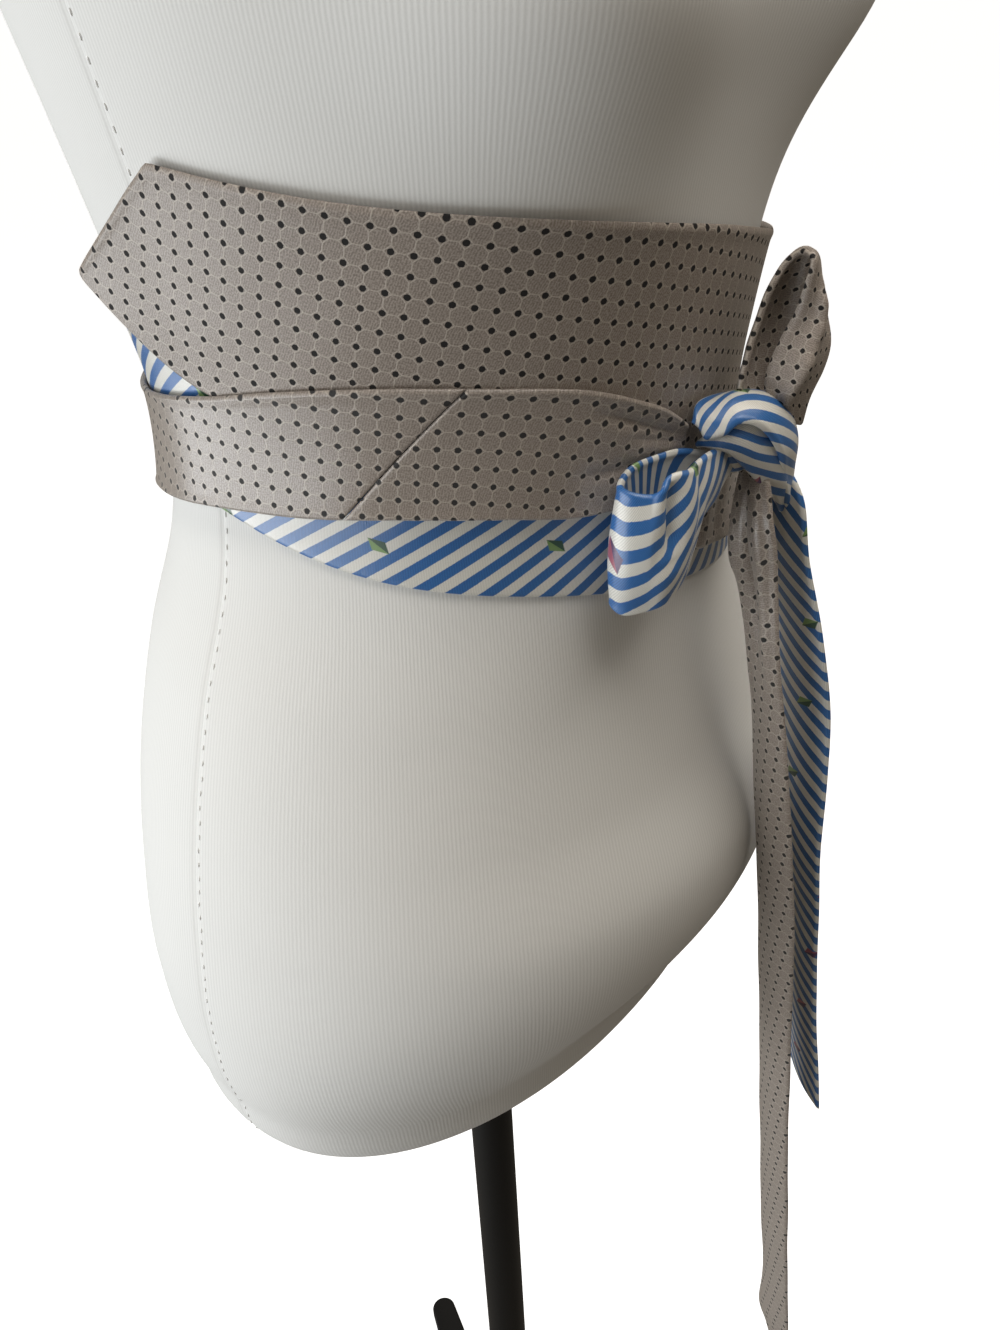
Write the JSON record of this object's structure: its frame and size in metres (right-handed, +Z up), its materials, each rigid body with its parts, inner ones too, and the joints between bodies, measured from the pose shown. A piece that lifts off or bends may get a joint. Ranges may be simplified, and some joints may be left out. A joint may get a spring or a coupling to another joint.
{
  "type": "obi belt on a dress form",
  "caption": "Wrapped obi belt of striped satin and dotted jacquard, tied in a half bow with long hanging tails, on a limbless dress form with a tripod stand.",
  "frame": {"origin": "middle of the stand hub's flat underside, on the floor, on the pole's axis", "axes": "+Z up the pole; the form's front faces -Y; +X is the wearer's left"},
  "size_m": [0.422, 0.4396, 1.5123],
  "materials": {
    "striped_satin": "blue and off-white diagonal stripes, satin sheen",
    "dotted_jacquard": "taupe jacquard with black dots and fine cream lines, soft sheen",
    "jersey": "off-white ribbed jersey, matt",
    "black_metal": "black powder coat, semi-gloss",
    "cap_plastic": "black, smooth"
  },
  "bodies": {
    "root": {"under_panel": "striped_satin", "outer_panel": "dotted_jacquard", "right_strap_back": "dotted_jacquard", "right_strap_front": "dotted_jacquard", "left_strap": "dotted_jacquard", "knot_core": "striped_satin", "knot_upper_turn": "striped_satin", "knot_lower_turn": "striped_satin", "striped_loop": "striped_satin", "dotted_loop": "dotted_jacquard", "dotted_tail": "dotted_jacquard", "striped_tail": "striped_satin", "form_torso": "jersey", "neck_cap": "cap_plastic", "stand_collar": "black_metal", "stand_pole": "black_metal", "stand_hub": "black_metal", "stand_leg_1": "black_metal", "stand_leg_2": "black_metal", "stand_leg_3": "black_metal"}
  },
  "joints": []
}
